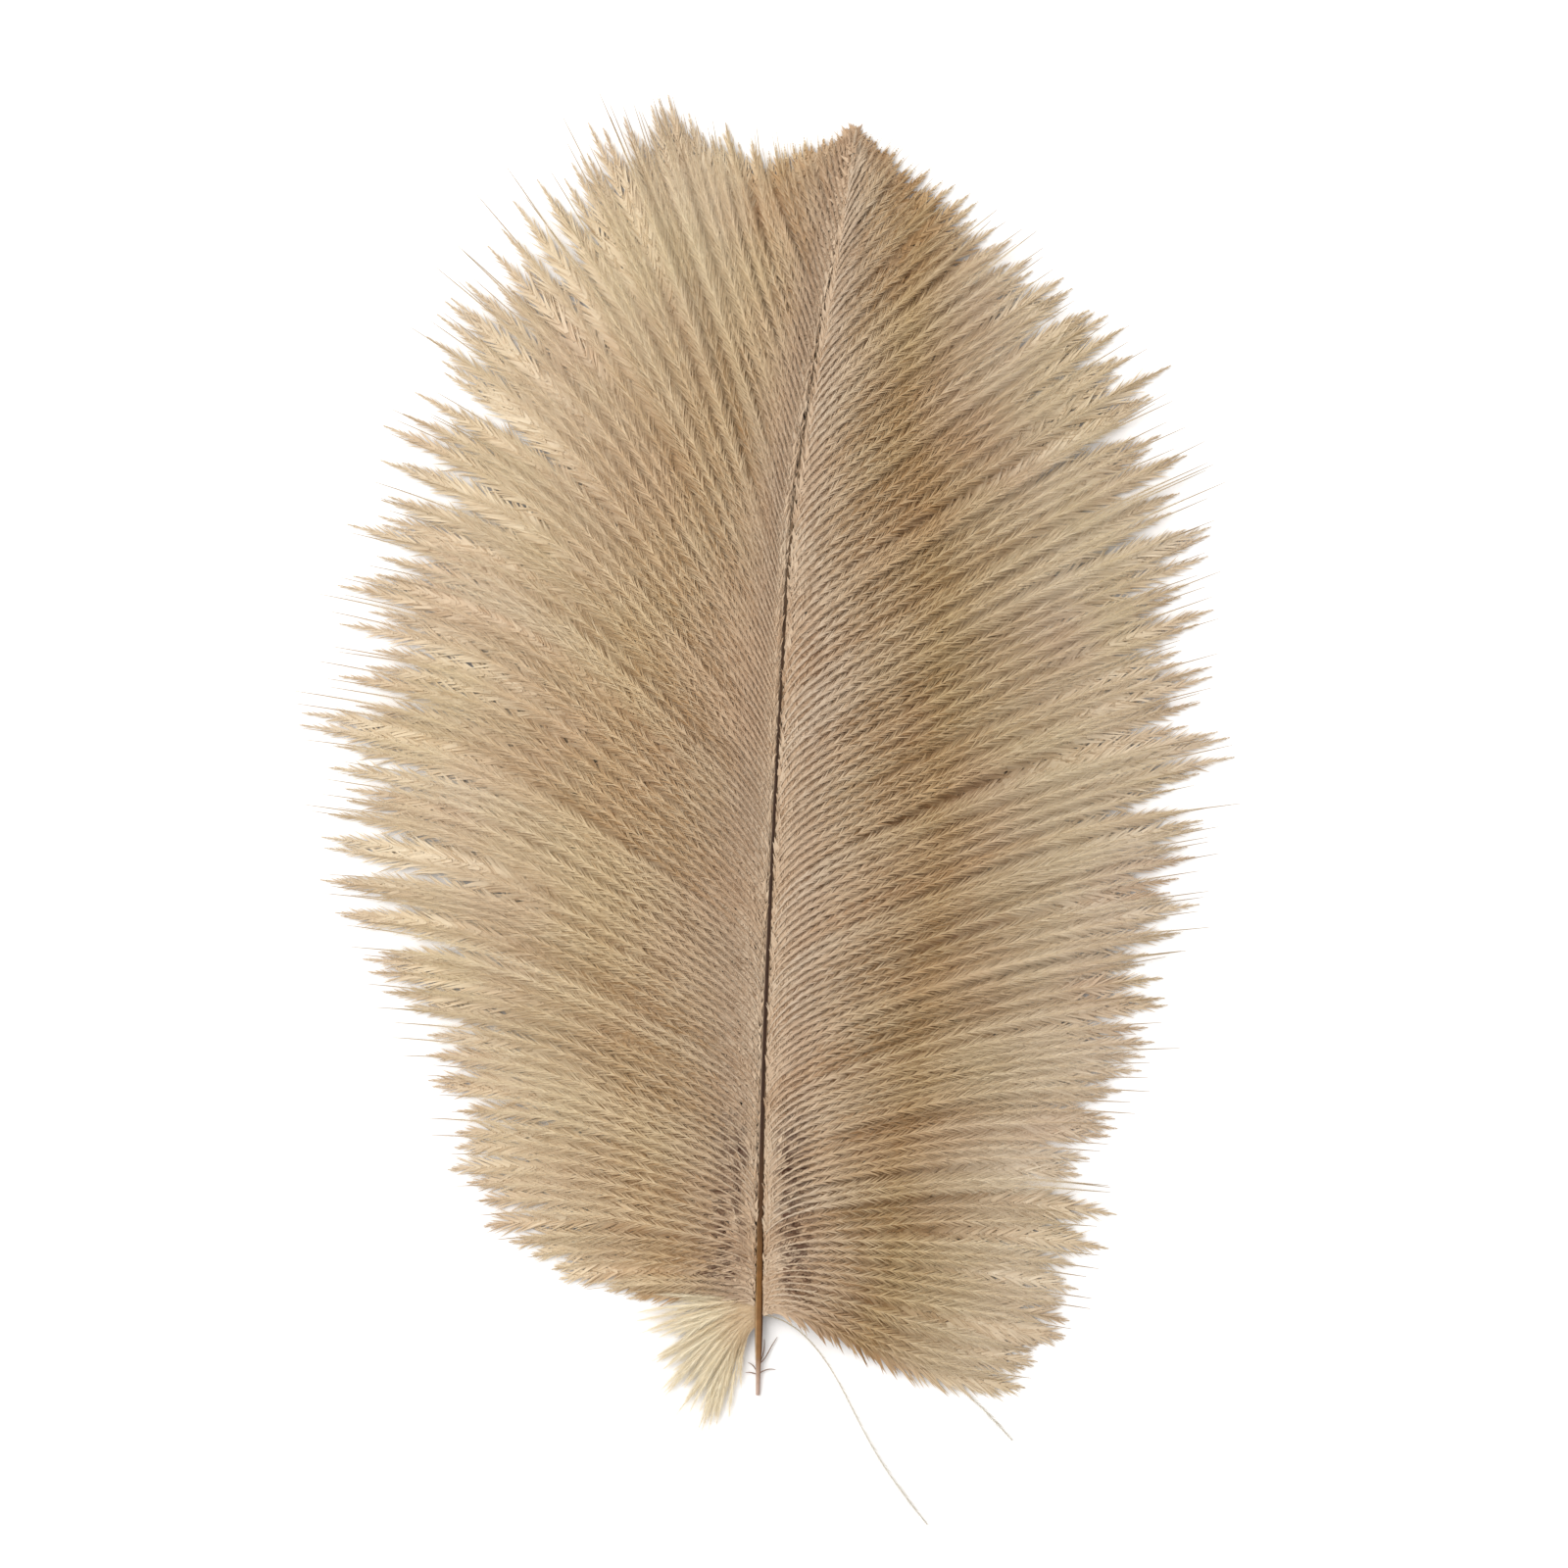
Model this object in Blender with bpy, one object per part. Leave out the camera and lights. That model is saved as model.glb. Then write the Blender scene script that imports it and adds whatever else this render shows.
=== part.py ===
"""Ostrich plume lying on a table: a slim quill, a vane of combed locks on each side and a tuft of down.

+X runs to the right, +Y towards the tip and +Z up, and the underside lies on z = 0. The sizes below are in
millimetres, and MM turns them into metres as the meshes are made. A list of pairs gives a place and the
value there, and a smooth curve runs through the values.
"""

import math
import random
from bisect import bisect_right
from dataclasses import dataclass

import bmesh
import bpy
from mathutils import Vector

MM = 0.001
SEED = 11

# The quill, by distance up the feather from its cut end.
QUILL_LENGTH = 182.0
QUILL_BEND = ((0, 0.0), (50, 0.95), (100, 3.25), (125, 4.95), (150, 8.7), (165, 11.5), (182, 14.1))
QUILL_RISE = ((0, 0.3), (4, 0.8), (14, 2.5), (40, 4.3), (60, 5.0), (110, 5.0), (160, 3.4), (182, 2.0))
QUILL_RADIUS = ((0, 0.30), (3.5, 0.34), (7, 0.52), (14, 0.58), (56, 0.46), (110, 0.32), (182, 0.16))
QUILL_POINTS = 46
QUILL_SIDES_RESOLUTION = 2

# Where the barbs leave the quill. A share of 0 is the lowest barb and 1 the last one at the tip: they are
# crowded at the foot and stand further apart towards the tip.
FOOT = 12.9
CROWDING = 108.0
SPREADING = 60.0
QUILL_CLEARANCE = 0.3

# A barb leaves nearly along the quill, and within a few millimetres turns to its middle heading. Headings
# are in degrees above level, outwards, and lengths are along the barb. Places are shares of the row.
ROOT_HEADING = 68.0
ROOT_TURN = 2.6
BEND_FROM = 0.4
LEFT_LENGTHS = ((0, 25), (0.044, 43), (0.116, 51), (0.18, 55), (0.266, 63), (0.362, 70), (0.451, 77),
                (0.535, 79), (0.614, 78), (0.689, 69), (0.761, 54), (0.83, 37), (0.896, 23), (0.941, 12.5),
                (0.978, 6), (1, 4))
LEFT_MIDDLES = ((0, 0), (0.044, 8), (0.116, 21), (0.266, 30), (0.362, 36), (0.451, 44), (0.535, 53),
                (0.614, 66), (0.689, 75), (0.83, 73), (0.941, 63), (1, 72))
LEFT_ENDS = ((0, -12), (0.044, -8), (0.116, 2), (0.266, 9), (0.362, 11), (0.451, 13), (0.535, 25),
             (0.614, 50), (0.689, 70), (0.83, 82), (0.941, 80), (1, 88))
RIGHT_LENGTHS = ((0, 43), (0.044, 47), (0.116, 51), (0.18, 55), (0.266, 60), (0.362, 66), (0.451, 69),
                 (0.535, 70), (0.614, 68), (0.689, 62), (0.761, 52), (0.83, 38), (0.896, 22), (0.941, 12.5),
                 (0.978, 6), (1, 4))
RIGHT_MIDDLES = ((0, -19), (0.044, -2), (0.116, 11), (0.266, 20), (0.451, 28), (0.614, 34), (0.761, 38),
                 (0.896, 42), (1, 62))
RIGHT_ENDS = ((0, -35), (0.044, -22), (0.116, -9), (0.266, 7), (0.451, 15), (0.614, 26), (0.761, 34),
              (0.896, 42), (1, 58))

# The barbs cling together in locks, which part from each other towards their pointed ends.
LOCKS_PER_VANE = 28
LOCK_ROWS = (0, 0.04, 0.09, 0.17, 0.28, 0.42, 0.56, 0.68, 0.79, 0.88, 0.95, 1)
LOCK_JOINED_WIDTH = 0.95
LOCK_END_WIDTH = 0.09
LOCK_PARTS_FROM = (0.56, 0.8)
LOCK_STRETCH = (0.92, 1.03)
LOCK_LIFT = 0.5

# Heights of a lock above the table, and how thin it gets between its ridge and its edges.
ROOT_ABOVE = 0.25
ROOT_BELOW = 0.45
CROWN = 2.8
CROWN_FULL_LENGTH = 40.0
TIP_TOP = 1.0
TIP_LIFT = 0.25
LIES_FROM = 0.22
LIES_TO = 0.86
EDGE_SHARE = 0.6
EDGE_FROM = 0.25

# Two loose barbs hang below the right vane: root, length, start, middle and end heading, and turn.
LOOSE_RIGHT = ((11.7, 39.5, 2.0, -70.0, -52.0, 7.5), (12.35, 41.5, 8.0, -22.0, -48.0, 4.0))
LOOSE_HALF_WIDTH = (0.25, 0.45, 0.16)
LOOSE_LIFT = 0.9

# The down at the foot of the left vane is a short fan, a row of its own in which the barbs spread apart.
DOWN_FOOT = 9.9
DOWN_CROWDING = 2.2
DOWN_LENGTHS = ((0, 12.5), (0.2, 17.5), (0.4, 18), (0.6, 16.5), (0.8, 16), (1, 18))
DOWN_MIDDLES = ((0, -78), (0.2, -68), (0.4, -58), (0.6, -43), (0.8, -27), (1, -9))
DOWN_ENDS = ((0, -84), (0.2, -76), (0.4, -60), (0.6, -44), (0.8, -26), (1, -5))
DOWN_LOCKS = 7
DOWN_START = 4.0
DOWN_TURN = 2.2
DOWN_ROWS = (0, 0.1, 0.22, 0.36, 0.52, 0.7, 0.86, 1)
DOWN_PARTS_FROM = 0.7
DOWN_CROWN = 1.2


def smooth(stations, at):
    """Height of a smooth curve through the stations, level beyond the first and the last."""
    places = [place for place, value in stations]
    values = [value for place, value in stations]
    if at <= places[0]:
        return values[0]
    if at >= places[-1]:
        return values[-1]
    left = bisect_right(places, at) - 1

    def slope(index):
        before = max(index - 1, 0)
        after = min(index + 1, len(places) - 1)
        return (values[after] - values[before]) / (places[after] - places[before])

    width = places[left + 1] - places[left]
    t = (at - places[left]) / width
    start, end = values[left], values[left + 1]
    rise_in, rise_out = slope(left) * width, slope(left + 1) * width
    return ((2 * t**3 - 3 * t**2 + 1) * start + (t**3 - 2 * t**2 + t) * rise_in
            + (3 * t**2 - 2 * t**3) * end + (t**3 - t**2) * rise_out)


def ease(at, start=0.0, end=1.0):
    """0 before start, 1 after end, and an S-shaped rise between them."""
    t = min(max((at - start) / (end - start), 0.0), 1.0)
    return t * t * (3 - 2 * t)


def quill_point(height):
    """Middle of the quill at a distance up the feather."""
    return Vector((smooth(QUILL_BEND, height), height, smooth(QUILL_RISE, height)))


def quill_side(height, side):
    """Place beside the quill where a barb of that side starts, clear of it."""
    point = quill_point(height)
    point.x += side * (smooth(QUILL_RADIUS, height) + QUILL_CLEARANCE)
    return point


@dataclass(frozen=True)
class Barb:
    """How one barb runs, seen from above: its root's distance up the feather, length and headings."""

    side: int
    root: float
    length: float
    start: float
    middle: float
    end: float
    turn: float

    def heading(self, along):
        """Heading in degrees above level, at a distance along the barb."""
        bend = ease(along / self.length, BEND_FROM, 1.0)
        fading_start = (self.start - self.middle) * math.exp(-along / self.turn)
        return self.middle + fading_start + (self.end - self.middle) * bend

    def run(self, shares):
        """Points at these shares of its length, with the direction at each."""
        point = quill_side(self.root, self.side).xy
        steps = 80
        step = self.length / steps
        line = []
        for index in range(steps + 1):
            angle = math.radians(self.heading((index + 0.5) * step))
            direction = Vector((self.side * math.cos(angle), math.sin(angle)))
            line.append((point.copy(), direction))
            point = point + direction * step
        return [line[round(share * steps)] for share in shares]


@dataclass(frozen=True)
class Row:
    """Barbs in a row on one side of the quill: where they leave it, how they leave it and how they run."""

    side: int
    lengths: tuple
    middles: tuple
    ends: tuple
    foot: float = FOOT
    crowding: float = CROWDING
    spreading: float = SPREADING
    start: float = ROOT_HEADING
    turn: float = ROOT_TURN

    def barb(self, share, stretch):
        """The barb at this share of the row, with its length stretched."""
        root = self.foot + self.crowding * share + self.spreading * share**2
        length = smooth(self.lengths, share) * stretch
        return Barb(self.side, root, length, self.start, smooth(self.middles, share),
                    smooth(self.ends, share), self.turn)


@dataclass(frozen=True)
class RowLock:
    """A lock of a row: the barbs on both sides of its middle close in on it as it narrows."""

    row: Row
    middle: float
    half: float
    parts_from: float
    stretch: float = 1.0
    lift: float = 0.0
    crown: float = CROWN

    def barb(self, share):
        """The barb at this share of the lock's row."""
        return self.row.barb(share, self.stretch)

    def root(self):
        """Distance up the feather of the lock's middle root."""
        return self.barb(self.middle).root

    def place(self, offset, at):
        """Place in plan, where offset is -1 and 1 on its edges and 0 on its ridge."""
        narrowing = ease(at, self.parts_from, 1.0)
        width = LOCK_JOINED_WIDTH + (LOCK_END_WIDTH - LOCK_JOINED_WIDTH) * narrowing
        point, direction = self.barb(self.middle + offset * self.half * width).run([at])[0]
        return point


@dataclass(frozen=True)
class LooseLock:
    """A lock or single barb that follows its own line, with a width in millimetres along it."""

    line: Barb
    widths: tuple
    parts_from: float
    lift: float = 0.0
    crown: float = 0.0

    def root(self):
        """Distance up the feather of its root."""
        return self.line.root

    def place(self, offset, at):
        """Place in plan, where offset is -1 and 1 on its edges and 0 on its ridge."""
        point, direction = self.line.run([at])[0]
        across = Vector((-direction.y, direction.x)) * self.line.side
        root_width, full_width, end_width = self.widths
        width = smooth(((0, root_width), (0.45, full_width), (0.75, full_width), (1, end_width)), at)
        return point + across * width * offset


def lock_heights(lock, offset, at):
    """Top and underside of a lock, above the table."""
    root = smooth(QUILL_RISE, lock.root())
    length = lock.line.length if isinstance(lock, LooseLock) else lock.barb(lock.middle).length
    crown = lock.crown * min(1.0, length / CROWN_FULL_LENGTH)
    top = TIP_TOP + (root + ROOT_ABOVE - TIP_TOP) * (1 - at) ** 0.9 + crown * math.sin(math.pi * at**0.6)
    top += lock.lift * math.sin(math.pi * at)
    under = (root - ROOT_BELOW) * (1 - ease(at, 0.0, LIES_FROM)) + TIP_LIFT * ease(at, LIES_TO, 1.0)
    if offset:
        top = under + (top - under) * (1 - (1 - EDGE_SHARE) * ease(at, 0.0, EDGE_FROM))
    return top, under


def locks_solid(name, locks, rows):
    """One closed solid of locks side by side, joined up to where each pair parts."""
    columns = [(lock, offset) for lock in locks for offset in (-1, 0, 1)]
    mesh = bmesh.new()
    underside = mesh.verts.layers.float.new("underside")
    bmesh.ops.create_grid(mesh, x_segments=len(columns) - 1, y_segments=len(rows) - 1, size=1)
    open_faces = []
    for face in mesh.faces:
        centre = face.calc_center_median()
        column = round((centre.x + 1) / 2 * (len(columns) - 1) - 0.5)
        row = round((centre.y + 1) / 2 * (len(rows) - 1) - 0.5)
        if column % 3 == 2:
            parting = min(locks[column // 3].parts_from, locks[column // 3 + 1].parts_from)
            if rows[row + 1] > parting:
                open_faces.append(face)
    for vertex in mesh.verts:
        lock, offset = columns[round((vertex.co.x + 1) / 2 * (len(columns) - 1))]
        at = rows[round((vertex.co.y + 1) / 2 * (len(rows) - 1))]
        top, under = lock_heights(lock, offset, at)
        vertex.co = lock.place(offset, at).to_3d() * MM
        vertex.co.z = top * MM
        vertex[underside] = under * MM
    bmesh.ops.delete(mesh, geom=open_faces, context="FACES_ONLY")
    bmesh.ops.delete(mesh, geom=[edge for edge in mesh.edges if not edge.link_faces], context="EDGES")
    lower = bmesh.ops.extrude_face_region(mesh, geom=mesh.faces[:])
    for vertex in lower["geom"]:
        if isinstance(vertex, bmesh.types.BMVert):
            vertex.co.z = vertex[underside]
    bmesh.ops.recalc_face_normals(mesh, faces=mesh.faces[:])
    data = bpy.data.meshes.new(name)
    mesh.to_mesh(data)
    mesh.free()
    return bpy.data.objects.new(name, data)


def vane(name, row, loose=()):
    """The vane on one side of the quill, from its foot to the tip of the feather."""
    chance = random.Random(SEED + row.side)
    locks = []
    for root, length, start, middle, end, turn in loose:
        line = Barb(row.side, root, length, start, middle, end, turn)
        locks.append(LooseLock(line, LOOSE_HALF_WIDTH, LOCK_ROWS[1], lift=-LOOSE_LIFT))
    half = 0.5 / LOCKS_PER_VANE
    for index in range(LOCKS_PER_VANE):
        locks.append(RowLock(
            row=row,
            middle=(2 * index + 1) * half,
            half=half,
            stretch=chance.uniform(*LOCK_STRETCH),
            parts_from=chance.uniform(*LOCK_PARTS_FROM),
            lift=chance.uniform(-LOCK_LIFT, LOCK_LIFT),
        ))
    return locks_solid(name, locks, LOCK_ROWS)


def down_tuft(name):
    """The short pale fan of down below the left vane."""
    row = Row(-1, DOWN_LENGTHS, DOWN_MIDDLES, DOWN_ENDS, foot=DOWN_FOOT, crowding=DOWN_CROWDING,
              spreading=0.0, start=DOWN_START, turn=DOWN_TURN)
    half = 0.5 / DOWN_LOCKS
    locks = []
    for index in range(DOWN_LOCKS):
        locks.append(RowLock(row, (2 * index + 1) * half, half, DOWN_PARTS_FROM, crown=DOWN_CROWN))
    return locks_solid(name, locks, DOWN_ROWS)


def quill(name):
    """The quill: a tapering curved rod, narrower again over its cut end."""
    curve = bpy.data.curves.new(name, "CURVE")
    curve.dimensions = "3D"
    curve.use_fill_caps = True
    curve.bevel_depth = MM
    curve.bevel_resolution = QUILL_SIDES_RESOLUTION
    line = curve.splines.new("POLY")
    line.points.add(QUILL_POINTS - 1)
    for index, point in enumerate(line.points):
        height = QUILL_LENGTH * (index / (QUILL_POINTS - 1)) ** 1.15
        point.co = (*(quill_point(height) * MM), 1)
        point.radius = smooth(QUILL_RADIUS, height)
    return bpy.data.objects.new(name, curve)


def finish(name, colour, roughness):
    """A plain material in the part's own colour."""
    material = bpy.data.materials.new(name)
    material.use_nodes = True
    shader = material.node_tree.nodes["Principled BSDF"]
    shader.inputs["Base Color"].default_value = (*colour, 1)
    shader.inputs["Roughness"].default_value = roughness
    shader.inputs["Metallic"].default_value = 0
    return material


def ground_under(pieces):
    """Point below the middle of all pieces, on their lowest level."""
    bpy.context.view_layer.update()
    graph = bpy.context.evaluated_depsgraph_get()
    corners = []
    for piece in pieces:
        shape = piece.evaluated_get(graph)
        corners.extend(vertex.co.copy() for vertex in shape.to_mesh().vertices)
        shape.to_mesh_clear()
    low = Vector(min(corner[axis] for corner in corners) for axis in range(3))
    high = Vector(max(corner[axis] for corner in corners) for axis in range(3))
    return Vector(((low.x + high.x) / 2, (low.y + high.y) / 2, low.z))


def main():
    """Build the feather's pieces and set its frame's origin under their middle."""
    for item in list(bpy.data.objects):
        bpy.data.objects.remove(item)
    feather = bpy.data.collections.new("ostrich_feather")
    bpy.context.scene.collection.children.link(feather)
    frame = bpy.data.objects.new("feather_frame", None)
    feather.objects.link(frame)

    barbs = finish("barbs", (0.45, 0.34, 0.22), 0.85)
    left_row = Row(-1, LEFT_LENGTHS, LEFT_MIDDLES, LEFT_ENDS)
    right_row = Row(1, RIGHT_LENGTHS, RIGHT_MIDDLES, RIGHT_ENDS)
    pieces = (
        (quill("quill"), finish("horn", (0.12, 0.06, 0.03), 0.45)),
        (vane("left_vane", left_row), barbs),
        (vane("right_vane", right_row, LOOSE_RIGHT), barbs),
        (down_tuft("down_tuft"), finish("down", (0.68, 0.57, 0.33), 0.9)),
    )
    for piece, material in pieces:
        piece.data.materials.append(material)
        feather.objects.link(piece)
        piece.parent = frame
    frame.location = -ground_under([piece for piece, material in pieces])


main()
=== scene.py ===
"""Ostrich plume, dressed: the barbs of both vanes with their barbules, the round quill and the down.

Lengths in the laws below are in millimetres in the feather's own plan, whose origin is the middle of the
quill's cut end, with +X to the right and +Y towards the tip. A Plan turns them into metres in the frame.
"""

import logging
import math
from dataclasses import dataclass, replace
from enum import Enum
from functools import reduce

import bpy
import numpy as np
from bpy.types import Material, Mesh, Node, NodeOutputs, NodeTree, Object
from bpy.types import NodeSocket as Socket
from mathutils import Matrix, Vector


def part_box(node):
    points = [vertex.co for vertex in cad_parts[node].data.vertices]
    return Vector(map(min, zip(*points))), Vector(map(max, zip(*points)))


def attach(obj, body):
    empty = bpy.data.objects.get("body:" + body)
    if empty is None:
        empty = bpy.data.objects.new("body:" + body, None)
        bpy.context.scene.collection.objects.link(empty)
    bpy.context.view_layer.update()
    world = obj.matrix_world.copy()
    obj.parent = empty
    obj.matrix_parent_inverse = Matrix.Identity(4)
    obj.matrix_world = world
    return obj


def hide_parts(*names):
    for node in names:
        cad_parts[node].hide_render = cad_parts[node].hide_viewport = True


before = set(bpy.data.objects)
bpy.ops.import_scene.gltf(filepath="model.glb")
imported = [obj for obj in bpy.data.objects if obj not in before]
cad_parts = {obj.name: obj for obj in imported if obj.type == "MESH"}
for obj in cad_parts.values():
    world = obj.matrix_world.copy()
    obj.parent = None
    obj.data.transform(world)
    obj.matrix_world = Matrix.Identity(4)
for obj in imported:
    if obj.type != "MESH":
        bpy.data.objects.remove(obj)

log = logging.getLogger("ostrich_feather")

MM = 0.001
BODY = "root"
STUDIO_LIGHT = 1.22
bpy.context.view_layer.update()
Pair = tuple[float, float]
Array = np.ndarray


# ---------------------------------------------------------------------------------------------------------
# Laws of the feather


@dataclass(frozen=True)
class Stations:
    """A smooth curve through (place, value) pairs, level beyond its two ends."""

    pairs: tuple[Pair, ...]

    def at(self, where: Array | float) -> Array:
        """Values of the curve.

        Args:
            where: the places to read it at.

        Returns:
            One value for each place.
        """
        places, values = np.array(self.pairs, dtype=float).T
        inner = (values[2:] - values[:-2]) / (places[2:] - places[:-2])
        first = (values[1] - values[0]) / (places[1] - places[0])
        last = (values[-1] - values[-2]) / (places[-1] - places[-2])
        slopes = np.concatenate([[first], inner, [last]])
        where = np.clip(np.asarray(where, dtype=float), places[0], places[-1])
        left = np.clip(np.searchsorted(places, where, side="right") - 1, 0, len(places) - 2)
        width = places[left + 1] - places[left]
        t = (where - places[left]) / width
        return ((2 * t**3 - 3 * t**2 + 1) * values[left] + (t**3 - 2 * t**2 + t) * slopes[left] * width
                + (3 * t**2 - 2 * t**3) * values[left + 1] + (t**3 - t**2) * slopes[left + 1] * width)


def ease(at: Array, start: float = 0.0, end: float = 1.0) -> Array:
    """S-shaped rise from 0 at start to 1 at end, read at these places."""
    t = np.clip((np.asarray(at, dtype=float) - start) / (end - start), 0.0, 1.0)
    return t * t * (3 - 2 * t)


def law(*pairs: Pair) -> Stations:
    """The curve through these (place, value) pairs."""
    return Stations(pairs)


def law_at(places: tuple[float, ...], *values: float) -> Stations:
    """The curve through these values at these places."""
    return Stations(tuple(zip(places, values)))


@dataclass(frozen=True)
class QuillLine:
    """The quill's course, thickness and height above the table, by distance up the feather."""

    length: float = 182.0
    bend: Stations = law((0, 0.0), (50, 0.95), (100, 3.25), (125, 4.95), (150, 8.7), (165, 11.5), (182, 14.1))
    rise: Stations = law((0, 0.3), (4, 0.8), (14, 2.5), (40, 4.3), (60, 5.0), (110, 5.0), (160, 3.4),
                         (182, 2.0))
    radius: Stations = law((0, 0.30), (3.5, 0.34), (7, 0.52), (14, 0.58), (56, 0.46), (110, 0.32),
                           (182, 0.16))

    def points(self, heights: Array) -> Array:
        """Middle of the quill in the feather's plan, as x, y and z for each distance up the feather."""
        return np.stack([self.bend.at(heights), heights, self.rise.at(heights)], axis=-1)


QUILL = QuillLine()


class Side(Enum):
    """Which side of the quill a row of barbs grows on."""

    LEFT = -1
    RIGHT = 1


@dataclass(frozen=True)
class Plan:
    """Where the feather's own plan lies in the frame, found from the quill's solid."""

    x: float
    y: float

    @classmethod
    def from_frame(cls) -> "Plan":
        """Read the plan's place from the box of the quill."""
        low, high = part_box("quill")
        tip = QUILL.length
        return cls(x=high[0] / MM - float(QUILL.bend.at(tip) + QUILL.radius.at(tip)), y=low[1] / MM)

    def place(self, points: Array) -> Array:
        """Points of the plan, whose last axis is x, y and z in millimetres, as metres in the frame."""
        return (points + np.array([self.x, self.y, 0.0])) * MM


PLAN = Plan.from_frame()


# ---------------------------------------------------------------------------------------------------------
# Node trees


class Wiring:
    """A node tree being wired, with one call for a node, its settings and its inputs."""

    def __init__(self, tree: NodeTree) -> None:
        """Start on a tree, which may already have nodes."""
        self.tree = tree

    def node(self, kind: str, inputs: dict | None = None, **settings) -> Node:
        """Add a node.

        Args:
            kind: the node's type in Blender.
            inputs: values or sockets for its inputs, by name or number.
            settings: the node's own properties.

        Returns:
            The new node.
        """
        made = self.tree.nodes.new(kind)
        for setting, value in settings.items():
            setattr(made, setting, value)
        for name, value in (inputs or {}).items():
            if isinstance(value, Socket):
                self.tree.links.new(value, made.inputs[name])
            else:
                made.inputs[name].default_value = value
        return made

    def maths(self, operation: str, *values) -> Socket:
        """A Math node's result, from numbers or sockets."""
        return self.node("ShaderNodeMath", dict(enumerate(values)), operation=operation).outputs[0]

    def times(self, *values) -> Socket:
        """The product of numbers or sockets."""
        return reduce(lambda first, second: self.maths("MULTIPLY", first, second), values)

    def plus(self, *values) -> Socket:
        """The sum of numbers or sockets."""
        return reduce(lambda first, second: self.maths("ADD", first, second), values)

    def mix(self, factor: object, first: object, second: object, blend: str = "MIX") -> Socket:
        """A Mix node's colour, where factor is the share of the second one."""
        return self.node("ShaderNodeMix", {0: factor, 6: first, 7: second}, data_type="RGBA",
                         blend_type=blend).outputs[2]

    def remap(self, value: Socket, places: Pair, results: Pair = (0.0, 1.0), smooth: bool = False) -> Socket:
        """A Map Range node's result, from two places of the value to two results, S-shaped if smooth."""
        inputs = zip(("Value", "From Min", "From Max", "To Min", "To Max"), (value, *places, *results))
        return self.node("ShaderNodeMapRange", dict(inputs),
                         interpolation_type="SMOOTHSTEP" if smooth else "LINEAR").outputs["Result"]

    def ramp(self, factor: Socket, stops: tuple) -> Socket:
        """A Color Ramp node's colour.

        Args:
            factor: the place to read the ramp at.
            stops: place and colour pairs from 0 to 1.

        Returns:
            The colour's socket.
        """
        made = self.node("ShaderNodeValToRGB", {"Fac": factor})
        elements = made.color_ramp.elements
        elements[0].color = stops[0][1]
        elements[1].color = stops[-1][1]
        for place, value in stops[1:-1]:
            elements.new(place).color = value
        return made.outputs["Color"]

    def read(self, name: str) -> Socket:
        """An attribute's value in a material."""
        return self.node("ShaderNodeAttribute", attribute_name=name).outputs["Fac"]

    def named(self, name: str) -> Socket:
        """A point attribute's value in a geometry tree."""
        return self.node("GeometryNodeInputNamedAttribute", {"Name": name},
                         data_type="FLOAT").outputs["Attribute"]

    def vector(self, operation: str, inputs: dict) -> Socket:
        """A Vector Math node's result, from inputs by name or number."""
        return self.node("ShaderNodeVectorMath", inputs, operation=operation).outputs[0]

    def axes(self, **parts) -> Socket:
        """A vector put together from X, Y and Z."""
        return self.node("ShaderNodeCombineXYZ", parts).outputs["Vector"]

    def store(self, geometry: object, name: str, value: object) -> Socket:
        """Geometry with a value kept in an attribute."""
        return self.node("GeometryNodeStoreNamedAttribute", {"Geometry": geometry, "Name": name,
                                                             "Value": value}, data_type="FLOAT").outputs[0]

    def finish(self, geometry: object, material: object) -> Socket:
        """Geometry with a material."""
        return self.node("GeometryNodeSetMaterial", {"Geometry": geometry, "Material": material}).outputs[0]

    def sweep(self, line: Socket, sides: int) -> Socket:
        """Sweep a ring along curves, as thick as their attribute thickness says.

        Args:
            line: the curves.
            sides: how many sides the ring has.

        Returns:
            The swept mesh, shaded smooth.
        """
        ring = self.node("GeometryNodeCurvePrimitiveCircle", {"Resolution": sides, "Radius": 1.0})
        swept = self.node("GeometryNodeCurveToMesh", {
            "Curve": line, "Profile Curve": ring.outputs["Curve"], "Scale": self.named("thickness"),
            "Fill Caps": True}).outputs["Mesh"]
        return self.node("GeometryNodeSetShadeSmooth", {"Geometry": swept}).outputs["Geometry"]


def linear(tone: tuple[int, int, int], light: float = 1.0) -> tuple[float, float, float, float]:
    """Linear colour that looks like a display tone of 0 to 255 under a light of this strength."""
    shares = [value / 255 for value in tone]
    return (*((s / 12.92 if s <= 0.04045 else ((s + 0.055) / 1.055) ** 2.4) / light for s in shares), 1.0)


def new_material(name: str, roughness: float, shine: float = 0.5) -> tuple[Material, Node]:
    """A new material.

    Args:
        name: the material's name.
        roughness: how rough it is.
        shine: how strongly it mirrors the light.

    Returns:
        The material and its shader.
    """
    material = bpy.data.materials.new(name)
    material.use_nodes = True
    shader = material.node_tree.nodes["Principled BSDF"]
    shader.inputs["Roughness"].default_value = roughness
    shader.inputs["Specular IOR Level"].default_value = shine
    return material, shader


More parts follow.
